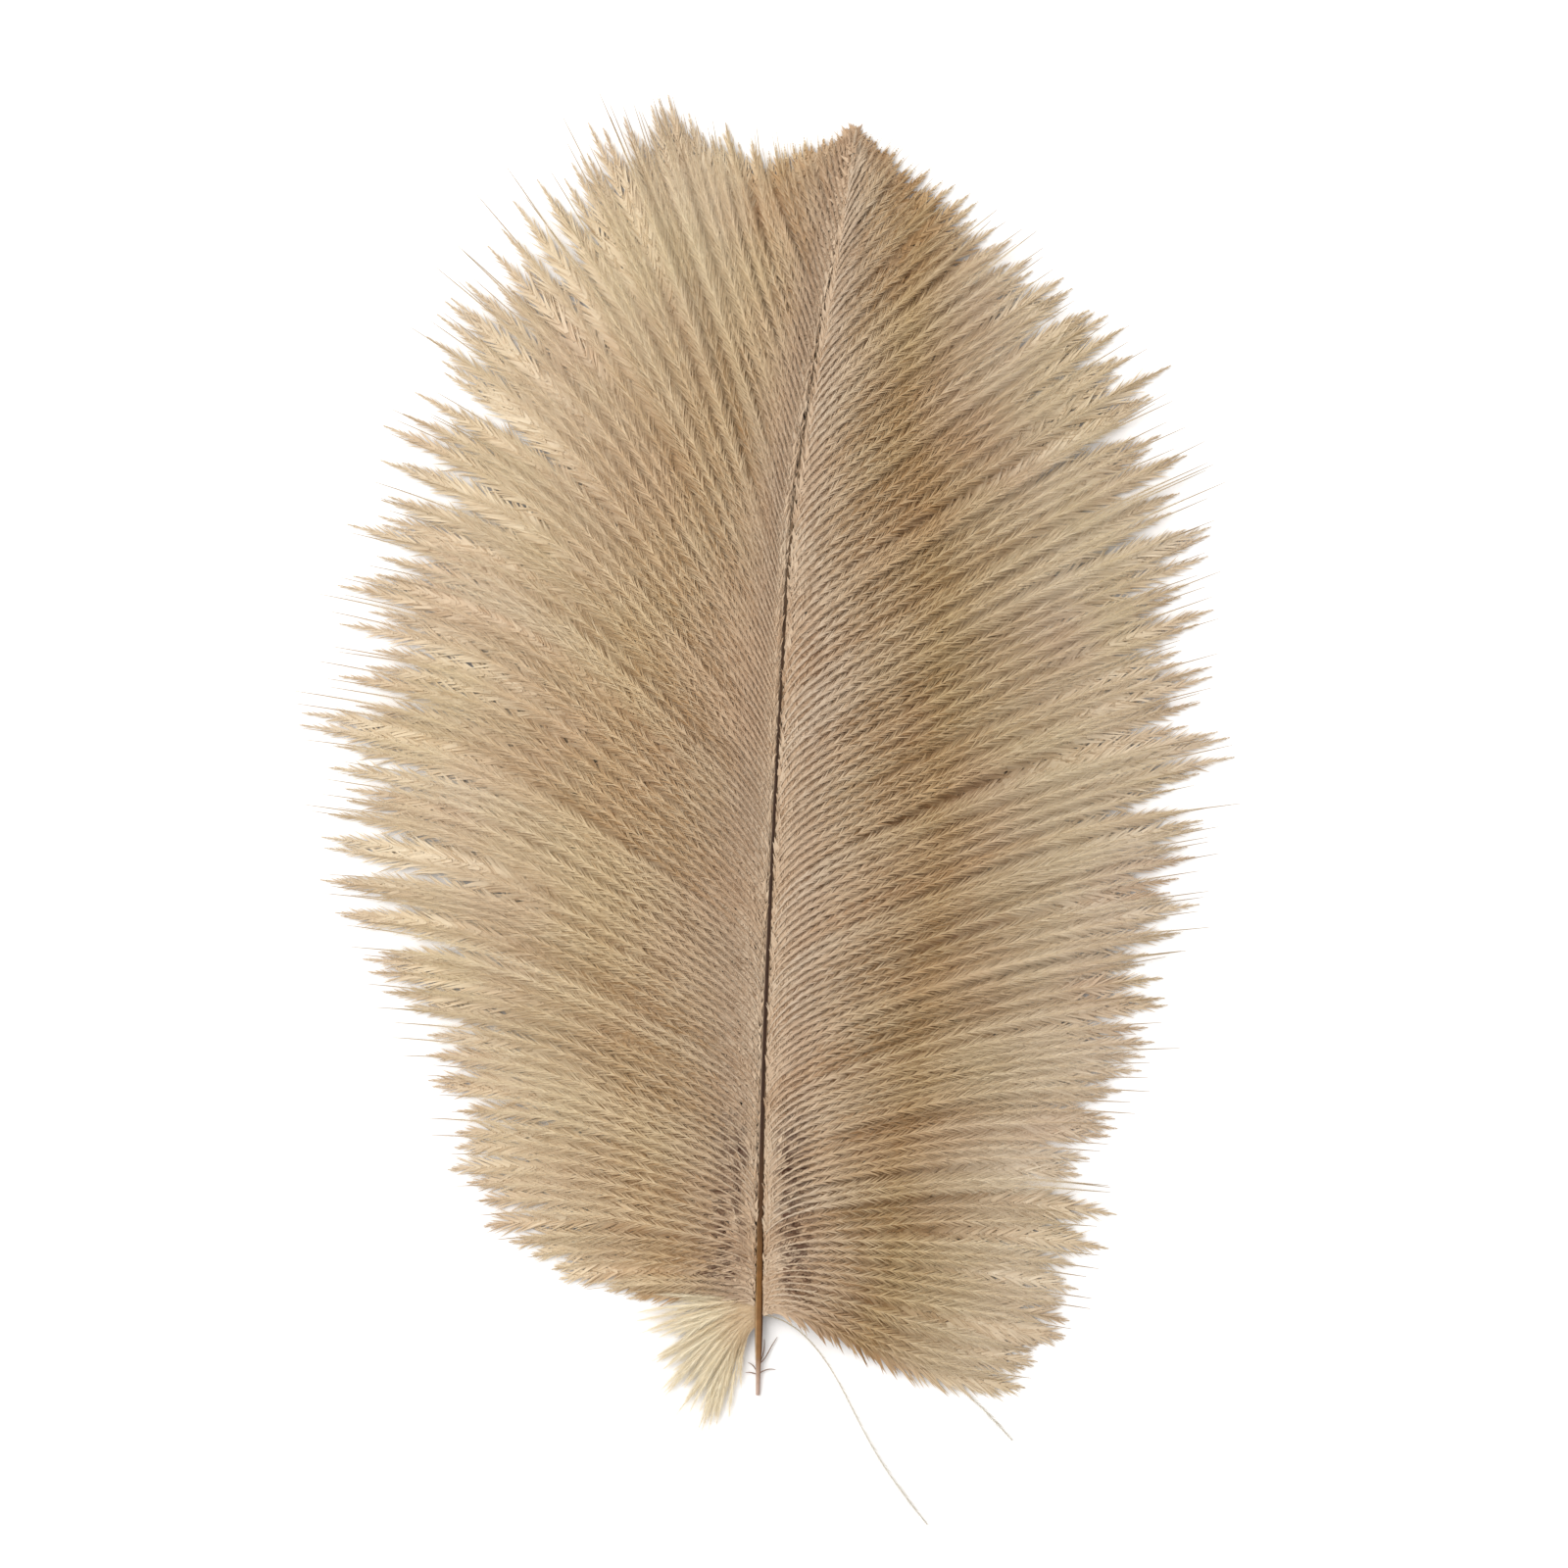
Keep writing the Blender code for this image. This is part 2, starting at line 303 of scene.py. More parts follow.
@dataclass(frozen=True)
class ToneDrift:
    """Shader group: the slow drift of tone that all the feather's finishes share."""

    name: str = "tone drift"
    scale: float = 55.0
    middling: Pair = (0.32, 0.68)

    def group(self) -> NodeTree:
        """Build the group once, and return it.

        Returns:
            The group, with the output Drift between 0 and 1.
        """
        tree = bpy.data.node_groups.get(self.name)
        if tree:
            return tree
        tree = bpy.data.node_groups.new(self.name, "ShaderNodeTree")
        tree.interface.new_socket("Scale", in_out="INPUT", socket_type="NodeSocketFloat")
        tree.interface.new_socket("Drift", in_out="OUTPUT", socket_type="NodeSocketFloat")
        wires = Wiring(tree)
        given = wires.node("NodeGroupInput")
        place = wires.node("ShaderNodeTexCoord").outputs["Object"]
        noise = wires.node("ShaderNodeTexNoise", {"Vector": place, "Scale": given.outputs["Scale"],
                                                  "Detail": 1.0, "Roughness": 0.5})
        wires.node("NodeGroupOutput", {"Drift": wires.remap(noise.outputs["Fac"], self.middling)})
        return tree

    def drift(self, wires: Wiring) -> Socket:
        """The group's result in the material that is being wired."""
        return wires.node("ShaderNodeGroup", {"Scale": self.scale}, node_tree=self.group()).outputs["Drift"]


@dataclass(frozen=True)
class BarbFinish:
    """Finish of barbs and barbules: tones along the barb, deeper and redder where little light gets in.

    The tones run from root to tip, at places along the barb. Some barbs turn warm, and drifts of the outer
    part turn gold. The lower a barbule's shade is within sunk_shade, the more painted shadow it takes
    on: fully over the inner part, less at the crowded root and by 1 - outer_light at the end of the outer
    part. gap is the tone of painted shadow in the gaps between crowded barbs at the foot.
    """

    name: str
    root: tuple
    middle: tuple
    outer: tuple
    tip: tuple
    warm: tuple
    gold: tuple
    shadow: tuple
    roughness: float
    light: float = STUDIO_LIGHT
    places: tuple = (0, 0.1, 0.4, 0.72, 0.84, 0.96, 1)
    # Tone of the painted shadow in the gaps between crowded barbs at the foot.
    gap: tuple = (78, 42, 26)
    warm_share: float = 0.5
    gold_share: float = 0.4
    gold_rise: float = 1.6
    gold_rounding: float = 0.1
    outer_light: float = 0.7
    outer_part: Pair = (0.3, 0.8)
    sunk_shade: Pair = (0.1, 0.72)
    crowded_root: Pair = (0.05, 0.25)
    crowded_depth: float = 0.4
    shine: float = 0.15

    def material(self) -> Material:
        """Build the material the first time, and return it.

        Returns:
            A material that reads the attributes along, tone, shade and deep of the piece.
        """
        if self.name in bpy.data.materials:
            return bpy.data.materials[self.name]
        material, shader = new_material(self.name, self.roughness, self.shine)
        wires = Wiring(material.node_tree)
        drift = ToneDrift().drift(wires)
        along, tone, shade = (wires.read(name) for name in ("along", "tone", "shade"))
        root, middle, outer, tip, warm, gold = (linear(tone, self.light) for tone in (
            self.root, self.middle, self.outer, self.tip, self.warm, self.gold))
        tones = wires.ramp(along, tuple(zip(self.places, (root, root, middle, outer, outer, tip, tip))))
        warmed = wires.mix(wires.times(tone, self.warm_share, drift), tones, warm)
        outwards = wires.maths("SMOOTH_MIN", wires.times(along, self.gold_rise), 1.0, self.gold_rounding)
        goldness = wires.times(outwards, wires.maths("SUBTRACT", 1.0, drift), self.gold_share)
        golden = wires.mix(goldness, warmed, gold)
        # Painted shadow: a darker, redder tint for barbules and shafts whose shade value is low.
        sunk = wires.mix(1.0, golden, linear(self.shadow), blend="MULTIPLY")
        deep = wires.remap(shade, self.sunk_shade, (1.0, 0.0), smooth=True)
        inwards = wires.remap(along, self.outer_part, (1.0, 1 - self.outer_light))
        crowded = wires.remap(along, self.crowded_root, (self.crowded_depth, 1.0))
        shaded = wires.mix(wires.times(deep, inwards, crowded), golden, sunk)
        # Painted shadow: the dark gap tone goes on where the attribute deep marks a gap at the foot.
        final = wires.mix(wires.read("deep"), shaded, linear(self.gap, STUDIO_LIGHT))
        material.node_tree.links.new(final, shader.inputs["Base Color"])
        return material


@dataclass(frozen=True)
class HornFinish:
    """Finish of the quill: place, red, green and blue up its left rim, its dark core and its right rim.

    turns are where the side that a point faces, from -1 on the left to 1, turns from one to the next. Near
    the cut end, the left rim's paler tones are painted light and the right rim's dark ones painted shade.
    """

    name: str = "quill horn"
    left: tuple = ((0, 206, 182, 168), (0.02, 196, 170, 150), (0.032, 186, 156, 122), (0.09, 162, 126, 80),
                   (0.14, 146, 114, 82), (0.2, 186, 162, 138), (1, 190, 166, 136))
    core: tuple = ((0, 190, 164, 150), (0.02, 180, 148, 124), (0.032, 142, 104, 68), (0.09, 130, 88, 44),
                   (0.14, 92, 64, 40), (0.22, 62, 42, 30), (0.5, 62, 42, 30), (0.62, 86, 64, 46),
                   (0.72, 150, 124, 96), (1, 198, 174, 144))
    right: tuple = ((0, 176, 146, 130), (0.02, 152, 114, 86), (0.032, 98, 60, 32), (0.09, 54, 28, 12),
                    (0.14, 70, 46, 30), (0.2, 172, 148, 122), (1, 188, 164, 134))
    turns: tuple = ((-0.75, -0.4), (0.45, 0.8))
    grain: float = 900.0
    grain_depth: float = 0.12
    roughness: float = 0.6
    shine: float = 0.12

    def material(self) -> Material:
        """Build the material.

        Returns:
            A material that reads the attributes up and facing of the piece.
        """
        material, shader = new_material(self.name, self.roughness, self.shine)
        wires = Wiring(material.node_tree)
        up, facing = wires.read("up"), wires.read("facing")
        left, core, right = (
            wires.ramp(up, tuple((place, linear(tone, STUDIO_LIGHT)) for place, *tone in tones))
            for tones in (self.left, self.core, self.right))
        # Painted light and shade: points facing left take the left rim's tones, points facing right the right
        # rim's.
        turns = [wires.remap(facing, places, smooth=True) for places in self.turns]
        tones = wires.mix(turns[1], wires.mix(turns[0], left, core), right)
        fine = wires.remap(ToneDrift(scale=self.grain).drift(wires), (0.0, 1.0),
                           (1 - self.grain_depth, 1 + self.grain_depth))
        final = wires.node("ShaderNodeHueSaturation", {"Color": tones, "Value": fine})
        material.node_tree.links.new(final.outputs["Color"], shader.inputs["Base Color"])
        return material


@dataclass(frozen=True)
class BarbTree:
    """Geometry Nodes: each guide line becomes a barb's own shaft with a row of barbules on both sides.

    The guide's points carry along, tone, deep (how much painted gap shadow they take on), level (how high
    the barb lies among its neighbours), thickness, fluff and breadth (the barbules' length and width), splay
    (their angle from the barb) and lift (how far they stand up from the vane). Barbules cling in clumps that
    share one chance and lean together at their tips. Pairs below are the lowest and the highest chance, and
    the shades are what the level and a barbule's stance add to how much painted light it gets.
    """

    name: str = "barb with barbules"
    shaft_sides: int = 3
    barbule_sides: int = 3
    clump: int = 3
    lean_together: float = 0.3
    side_seed: int = 100
    clump_turn: Pair = (-0.6, 0.6)
    own_turn: Pair = (-0.4, 0.4)
    clump_stance: Pair = (-0.75, 0.45)
    own_stance: Pair = (-0.25, 0.25)
    own_roll: Pair = (0.0, 6.28)
    clump_length: Pair = (0.55, 0.95)
    own_length: Pair = (0.0, 0.3)
    own_width: Pair = (0.6, 1.45)
    clump_shade: Pair = (-0.06, 0.24)
    level_shade: float = 0.42
    stance_shade: float = 0.24
    shaft_shade: float = 0.35
    shaft_level_shade: float = 0.55

    def tree(self) -> NodeTree:
        """Build the tree once, and return it.

        Returns:
            A tree with inputs for the guide, the barbules' spacing and width, the seed and two finishes.
        """
        tree = bpy.data.node_groups.get(self.name)
        if tree:
            return tree
        tree = bpy.data.node_groups.new(self.name, "GeometryNodeTree")
        for name, kind in (("Guide", "Geometry"), ("Spacing", "Float"), ("Barbule Width", "Float"),
                           ("Splay Spread", "Float"), ("Table Gap", "Float"), ("Seed", "Int"),
                           ("Shaft Finish", "Material"), ("Barbule Finish", "Material")):
            tree.interface.new_socket(name, in_out="INPUT", socket_type=f"NodeSocket{kind}")
        tree.interface.new_socket("Barbs", in_out="OUTPUT", socket_type="NodeSocketGeometry")
        wires = Wiring(tree)
        given = wires.node("NodeGroupInput").outputs
        lines = wires.node("GeometryNodeMeshToCurve", {"Mesh": given["Guide"]}).outputs["Curve"]
        shafts = self.shafts(wires, given, lines)
        barbules = [self.barbules(wires, given, lines, side) for side in Side]
        joined = wires.node("GeometryNodeJoinGeometry")
        for piece in (shafts, *barbules):
            tree.links.new(piece, joined.inputs["Geometry"])
        real = wires.node("GeometryNodeRealizeInstances", {"Geometry": joined.outputs["Geometry"]})
        split = wires.node("ShaderNodeSeparateXYZ", {
            "Vector": wires.node("GeometryNodeInputPosition").outputs["Position"]}).outputs
        above = wires.maths("MAXIMUM", split["Z"], given["Table Gap"])
        raised = wires.axes(X=split["X"], Y=split["Y"], Z=above)
        resting = wires.node("GeometryNodeSetPosition", {"Geometry": real.outputs["Geometry"],
                                                         "Position": raised})
        wires.node("NodeGroupOutput", {"Barbs": resting.outputs["Geometry"]})
        return tree

    def shafts(self, wires: Wiring, given: NodeOutputs, lines: Socket) -> Socket:
        """Sweep a small ring along each line.

        Args:
            wires: the tree's wiring.
            given: the tree's inputs.
            lines: the guide as curves.

        Returns:
            The barbs' own shafts, with their finish.
        """
        lit = wires.plus(wires.times(wires.named("level"), self.shaft_level_shade), self.shaft_shade)
        swept = wires.sweep(wires.store(lines, "shade", lit), self.shaft_sides)
        return wires.finish(swept, given["Shaft Finish"])

    def barbules(self, wires: Wiring, given: NodeOutputs, lines: Socket, side: Side) -> Socket:
        """Set fine pointed barbules along one side of each line, leaning towards its tip.

        Args:
            wires: the tree's wiring.
            given: the tree's inputs.
            lines: the guide as curves.
            side: the side of the barb that they grow on.

        Returns:
            The barbules as instances, with their finish.
        """
        maths, times, plus = wires.maths, wires.times, wires.plus
        place = maths("DIVIDE", wires.node("GeometryNodeInputIndex").outputs[0], float(self.clump))
        clump = maths("FLOOR", place)
        in_clump = maths("SUBTRACT", maths("FRACT", place), 0.5)

        def chance(limits: Pair, offset: int, shared: bool = False) -> Socket:
            """A chance between two limits, its own for each barbule or shared by its clump."""
            seed = plus(given["Seed"], offset + self.side_seed * side.value)
            inputs = {2: limits[0], 3: limits[1], "Seed": seed}
            if shared:
                inputs["ID"] = clump
            return wires.node("FunctionNodeRandomValue", inputs, data_type="FLOAT").outputs[1]

        spots = wires.node("GeometryNodeCurveToPoints", {"Curve": lines, "Length": given["Spacing"]},
                           mode="LENGTH")
        ahead = spots.outputs["Tangent"]
        across = wires.vector("NORMALIZE", {0: wires.vector("CROSS_PRODUCT", {0: (0, 0, 1), 1: ahead})})
        turn = plus(chance(self.clump_turn, 1, shared=True), chance(self.own_turn, 2))
        wander = times(turn, given["Splay Spread"])
        splay = plus(times(wires.named("splay"), plus(wander, 1.0)), times(in_clump, self.lean_together))
        forward = wires.vector("SCALE", {0: ahead, "Scale": maths("COSINE", splay)})
        sideways = times(maths("SINE", splay), float(-side.value))
        outward = wires.vector("SCALE", {0: across, "Scale": sideways})
        stance = plus(chance(self.clump_stance, 3, shared=True), chance(self.own_stance, 4))
        upward = wires.axes(Z=times(wires.named("lift"), stance))
        points_to = wires.vector("ADD", {0: wires.vector("ADD", {0: forward, 1: outward}), 1: upward})
        roll = wires.axes(Z=chance(self.own_roll, 5))
        turned = wires.node("FunctionNodeAlignRotationToVector", {"Rotation": roll, "Vector": points_to},
                            axis="Z").outputs["Rotation"]
        fluff = wires.named("fluff")
        length = times(fluff, plus(chance(self.clump_length, 6, shared=True), chance(self.own_length, 7)))
        width = times(times(given["Barbule Width"], wires.named("breadth")), chance(self.own_width, 8))
        size = wires.axes(X=width, Y=width, Z=length)
        spike = wires.node("GeometryNodeMeshCone", {
            "Vertices": self.barbule_sides, "Side Segments": 1, "Radius Top": 0.0, "Radius Bottom": 0.5,
            "Depth": 1.0}, fill_type="NONE").outputs["Mesh"]
        finished = wires.finish(spike, given["Barbule Finish"])
        lit = plus(times(wires.named("level"), self.level_shade),
                   times(plus(stance, 1.0), self.stance_shade))
        lit = plus(lit, chance(self.clump_shade, 9, shared=True))
        return wires.node("GeometryNodeInstanceOnPoints", {
            "Points": wires.store(spots.outputs["Points"], "shade", lit), "Instance": finished,
            "Rotation": turned, "Scale": size}).outputs["Instances"]


@dataclass(frozen=True)
class QuillTree:
    """Geometry Nodes: the quill's line swept by a ring, with the side that each point faces."""

    name: str = "quill sweep"
    sides: int = 14

    def tree(self) -> NodeTree:
        """Build the tree.

        Returns:
            A tree with inputs for the guide and the finish.
        """
        tree = bpy.data.node_groups.new(self.name, "GeometryNodeTree")
        for name, kind in (("Guide", "Geometry"), ("Finish", "Material")):
            tree.interface.new_socket(name, in_out="INPUT", socket_type=f"NodeSocket{kind}")
        tree.interface.new_socket("Quill", in_out="OUTPUT", socket_type="NodeSocketGeometry")
        wires = Wiring(tree)
        given = wires.node("NodeGroupInput").outputs
        line = wires.node("GeometryNodeMeshToCurve", {"Mesh": given["Guide"]}).outputs["Curve"]
        rounded = wires.sweep(line, self.sides)
        normal = wires.node("GeometryNodeInputNormal").outputs["Normal"]
        faces = wires.node("ShaderNodeSeparateXYZ", {"Vector": normal}).outputs["X"]
        # facing, the x of the normal, picks the horn's painted light and shade by side.
        marked = wires.store(rounded, "facing", faces)
        real = wires.node("GeometryNodeRealizeInstances", {"Geometry": marked}).outputs["Geometry"]
        wires.node("NodeGroupOutput", {"Quill": wires.finish(real, given["Finish"])})
        return tree


def grow(name: str, guide_mesh: Mesh, tree: NodeTree, values: dict[str, object],
         kept: tuple[str, ...]) -> Object:
    """Run a node tree on a guide and keep its result as a plain mesh.

    Args:
        name: the piece's name.
        guide_mesh: the guide lines with their attributes.
        tree: the Geometry Nodes tree.
        values: values of the tree's inputs, by name.
        kept: names of the attributes that the finish reads.

    Returns:
        The piece, in the scene and riding on the feather's body.
    """
    guide = bpy.data.objects.new(name + "_guide", guide_mesh)
    bpy.context.scene.collection.objects.link(guide)
    grower = guide.modifiers.new("grow", "NODES")
    grower.node_group = tree
    for socket in tree.interface.items_tree:
        if socket.name in values:
            grower[socket.identifier] = values[socket.name]
    graph = bpy.context.evaluated_depsgraph_get()
    mesh = bpy.data.meshes.new_from_object(guide.evaluated_get(graph))
    guide.modifiers.remove(grower)
    bpy.data.objects.remove(guide)
    for key in (*Guides.__dataclass_fields__, "up"):
        if key in mesh.attributes and key not in kept:
            mesh.attributes.remove(mesh.attributes[key])
    for slot in reversed(range(len(mesh.materials))):
        if mesh.materials[slot] is None:
            mesh.materials.pop(index=slot)
    mesh.name = name
    piece = bpy.data.objects.new(name, mesh)
    bpy.context.scene.collection.objects.link(piece)
    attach(piece, BODY)
    log.info("%s: %d triangles", name, len(mesh.loops) - 2 * len(mesh.polygons))
    return piece


# ---------------------------------------------------------------------------------------------------------
# Pieces


@dataclass
class Guides:
    """Guide lines of many barbs, as arrays with one row for a barb and one column for a point on it."""

    points: Array
    along: Array
    tone: Array
    deep: Array
    level: Array
    thickness: Array
    fluff: Array
    breadth: Array
    splay: Array
    lift: Array

    def part(self, rows: Array) -> "Guides":
        """New guides of only the barbs with these numbers."""
        return Guides(*(getattr(self, name)[rows] for name in self.__dataclass_fields__))

    def mesh(self, name: str) -> Mesh:
        """The lines as loose edges in the frame, with their laws as attributes.

        Args:
            name: the mesh's name.

        Returns:
            The guide mesh.
        """
        laws = {key: getattr(self, key) for key in self.__dataclass_fields__ if key != "points"}
        laws["thickness"] = laws["thickness"] * MM
        laws["fluff"] = laws["fluff"] * MM
        return line_mesh(name, PLAN.place(self.points), laws)


def line_mesh(name: str, points: Array, laws: dict[str, Array]) -> Mesh:
    """A mesh of separate lines with point attributes.

    Args:
        name: the mesh's name.
        points: one row for a line, one column for a point on it, and x, y and z.
        laws: values for each point, by attribute name.

    Returns:
        The mesh, which has edges and no faces.
    """
    lines, steps = points.shape[:2]
    numbers = np.arange(lines * steps).reshape(lines, steps)
    edges = np.stack([numbers[:, :-1].ravel(), numbers[:, 1:].ravel()], axis=-1)
    mesh = bpy.data.meshes.new(name)
    mesh.from_pydata(points.reshape(-1, 3).tolist(), edges.tolist(), [])
    for key, values in laws.items():
        attribute = mesh.attributes.new(key, "FLOAT", "POINT")
        attribute.data.foreach_set("value", np.ascontiguousarray(values, dtype=float).ravel())
    return mesh


@dataclass(frozen=True)
class BarbDress:
    """How a piece's guides become barbs: finishes, an unused slot, and spacing and width of barbules in mm.

    splay_spread is how much their splay varies, and table_gap how far all points stay above the table.
    """

    shaft_finish: BarbFinish
    barbule_finish: BarbFinish
    slot: str = "barbs"
    spacing: float = 0.16
    width: float = 0.15
    splay_spread: float = 0.4
    table_gap: float = 0.03

    def apply(self, name: str, guides: Guides, node: str, seed: int) -> Object:
        """Grow the barbs on their guides, and put them in the scene as one plain mesh.

        Args:
            name: the piece's name.
            guides: the barbs' lines and laws.
            node: the solid that the piece stands for.
            seed: the seed of the barbules' chances.

        Returns:
            The finished piece.
        """
        piece = grow(name, guides.mesh(name), BarbTree().tree(), {
            "Spacing": self.spacing * MM, "Barbule Width": self.width * MM,
            "Splay Spread": self.splay_spread, "Table Gap": self.table_gap * MM, "Seed": seed,
            "Shaft Finish": self.shaft_finish.material(),
            "Barbule Finish": self.barbule_finish.material()}, kept=("along", "tone", "deep"))
        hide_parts(node)
        return piece


SHAFT_FINISH = BarbFinish(
    "barb shafts", root=(214, 194, 170), middle=(212, 190, 156), outer=(222, 202, 170), tip=(168, 142, 112),
    warm=(204, 166, 126), gold=(212, 188, 138), shadow=(222, 202, 182), roughness=0.5)
BARBULE_FINISH = BarbFinish(
    "barbules", root=(213, 192, 168), middle=(201, 172, 129), outer=(242, 225, 200), tip=(222, 206, 184),
    warm=(206, 164, 120), gold=(221, 201, 154), shadow=(218, 198, 174), roughness=0.75, warm_share=0.4)
LEFT_BARBULES = replace(
    BARBULE_FINISH, name="left barbules", root=(184, 157, 131), middle=(218, 192, 154),
    outer=(241, 222, 192), warm=(224, 190, 154), gold=(232, 212, 168))
UNDER_FINISH = BarbFinish(
    "under barbules", root=(220, 197, 170), middle=(191, 160, 120), outer=(242, 227, 204),
    tip=(225, 207, 183), warm=(180, 138, 98), gold=(204, 178, 126), shadow=(225, 208, 190), roughness=0.8)
LEFT_UNDER = replace(
    UNDER_FINISH, name="left under barbules", middle=(214, 186, 148), outer=(242, 225, 198),
    warm=(204, 164, 124), gold=(226, 204, 160))
DOWN_FINISH = BarbFinish(
    "down fibres", root=(204, 180, 148), middle=(222, 208, 180), outer=(238, 228, 205), tip=(236, 224, 200),
    warm=(216, 196, 160), gold=(226, 210, 170), shadow=(236, 224, 206), roughness=0.8, light=1.0)
LOOSE_FINISH = BarbFinish(
    "loose barbs", root=(206, 190, 162), middle=(216, 206, 188), outer=(218, 210, 196), tip=(200, 190, 172),
    warm=(212, 198, 174), gold=(216, 206, 180), shadow=(228, 220, 208), roughness=0.7)
WISP_FINISH = BarbFinish(
    "calamus wisps", root=(140, 106, 84), middle=(150, 118, 96), outer=(164, 134, 114), tip=(150, 124, 106),
    warm=(140, 104, 84), gold=(150, 120, 92), shadow=(220, 205, 190), roughness=0.6)


@dataclass(frozen=True)
class Layer:
    """One layer of a vane: how many barbs, how high and how far they lie, and their dress.

    Its laws are read along the barb, from its root (0) to its tip (1). rise scales its height, and fluff and
    taper together are the barbules' length in mm. breadth scales the barbules' width, thickness is the
    shaft's radius in mm, and splay and lift are the barbules' angle in degrees and how far they stand up.
    cling scales what the barbs of a lock share, roam what each does alone, and light how high and so how
    bright they lie. crowding is how closely the layer follows the row's crowding.
    """

    dress: BarbDress
    barbs: int
    rise: Stations = law((0, 1.0), (1, 1.0))
    reach: float = 1.0
    fluff: Stations = law((0, 0.3), (0.03, 0.8), (0.07, 1.3), (0.16, 1.9), (0.35, 2.5), (0.55, 4.0),
                          (0.8, 5.0), (1, 5.4))
    taper: Stations = law((0, 1), (0.5, 1), (0.72, 0.88), (0.82, 0.62), (0.89, 0.3), (0.94, 0.11), (1, 0.03))
    breadth: Stations = law((0, 1.1), (0.04, 1.5), (0.12, 1.4), (0.3, 0.92), (0.5, 0.66), (0.7, 0.42),
                            (0.85, 0.25), (1, 0.14))
    thickness: Stations = law((0, 0.145), (0.08, 0.125), (0.3, 0.085), (0.7, 0.065), (0.9, 0.08),
                              (0.97, 0.065), (1, 0.03))
    splay: Stations = law((0, 8), (0.06, 12), (0.16, 22), (0.38, 27), (0.55, 22), (0.75, 15), (0.9, 9),
                          (1, 6))
    lift: Stations = law((0, 0.04), (0.1, 0.1), (0.3, 0.28), (0.5, 0.19), (0.75, 0.1), (1, 0.05))
    cling: float = 1.0
    roam: float = 1.0
    light: float = 1.0
    crowding: float = 1.0
    underneath: bool = False


TOP_LAYER = Layer(BarbDress(SHAFT_FINISH, BARBULE_FINISH), barbs=130)
UNDER_LAYER = Layer(
    BarbDress(UNDER_FINISH, UNDER_FINISH, spacing=0.42, width=0.72),
    barbs=122,
    rise=law((0, 0.95), (0.14, 0.88), (0.4, 0.7), (0.6, 0.6), (1, 0.5)),
    reach=0.97,
    fluff=law((0, 1.0), (0.04, 2.6), (0.15, 3.8), (0.7, 5.2), (1, 6.0)),
    taper=law((0, 1), (0.7, 1), (0.84, 0.84), (0.92, 0.55), (0.97, 0.2), (1, 0.06)),
    breadth=law((0, 1), (0.5, 1.1), (0.72, 1.0), (0.86, 0.7), (0.94, 0.42), (1, 0.24)),
    thickness=law((0, 0.1), (0.5, 0.06), (1, 0.025)),
    splay=law((0, 34), (0.4, 34), (0.8, 24), (1, 13)),
    lift=law((0, 0.04), (1, 0.08)),
    cling=0.35,
    roam=0.6,
    light=0.55,
    crowding=2.2,
    underneath=True,
)
LEFT_TOP = replace(TOP_LAYER, dress=replace(TOP_LAYER.dress, barbule_finish=LEFT_BARBULES), crowding=0.8)
LEFT_LOWER = replace(UNDER_LAYER, dress=replace(UNDER_LAYER.dress, shaft_finish=LEFT_UNDER,
                                                barbule_finish=LEFT_UNDER))
DOWN_LAYER = Layer(
    BarbDress(DOWN_FINISH, DOWN_FINISH, slot="down", spacing=0.13, width=0.08),
    barbs=72,
    fluff=law((0, 0.4), (0.2, 2.0), (0.6, 3.8), (1, 4.4)),
    taper=law((0, 1), (0.35, 1), (0.6, 0.8), (0.8, 0.5), (0.92, 0.25), (1, 0.05)),
    breadth=law((0, 1), (0.6, 0.8), (1, 0.45)),
    thickness=law((0, 0.07), (0.3, 0.05), (1, 0.02)),
    splay=law((0, 16), (0.5, 13), (1, 9)),
    lift=law((0, 0.12), (1, 0.3)),
    cling=2.4,
    roam=3.0,
)
LOOSE_LAYER = Layer(
    BarbDress(LOOSE_FINISH, LOOSE_FINISH, spacing=0.22, width=0.055),
    barbs=1,
    fluff=law((0, 0.3), (0.3, 0.8), (0.7, 1.0), (0.9, 1.3), (1, 0.5)),
    breadth=law((0, 1), (1, 1)),
    thickness=law((0, 0.1), (0.5, 0.075), (1, 0.04)),
    splay=law((0, 26), (1, 20)),
    lift=law((0, 0.2), (1, 0.3)),
)
WISP_LAYER = Layer(
    BarbDress(WISP_FINISH, WISP_FINISH, spacing=0.5, width=0.05),
    barbs=1,
    fluff=law((0, 0.2), (1, 0.3)),
    thickness=law((0, 0.1), (0.7, 0.08), (1, 0.04)),
)


def follow(side: Side, start: Array, heading: Array, stride: Array) -> Array:
    """Lines that leave their starts with these headings, in plan.

    Args:
        side: the side that they grow on.
        start: x and y of each line's root.
        heading: degrees above level, outwards, for each line and point.
        stride: distance from the point before, for each line and point.

    Returns:
        x and y for each line and point.
    """
    angle = np.radians(heading)
    x = start[:, :1] + side.value * np.cumsum(stride * np.cos(angle), axis=1)
    y = start[:, 1:2] + np.cumsum(stride * np.sin(angle), axis=1)
    return np.stack([x, y], axis=-1)


def shrink(length: Array, full: Pair) -> Array:
    """Share of its size that a law keeps on a short barb, from the full length in mm and the least share."""
    return np.clip(length / full[0], full[1], 1)


@dataclass(frozen=True)
class Chances:
    """A layer's random numbers, one row for a barb: those of its lock first, then its own."""

    lock: Array
    turn: Array
    wave: Array
    phase: Array
    stretch: Array
    clump: Array
    level: Array
    tone: Array
    own_stretch: Array
    stray: Array
    own_turn: Array
    own_level: Array
    dash: Array
    gap: Array


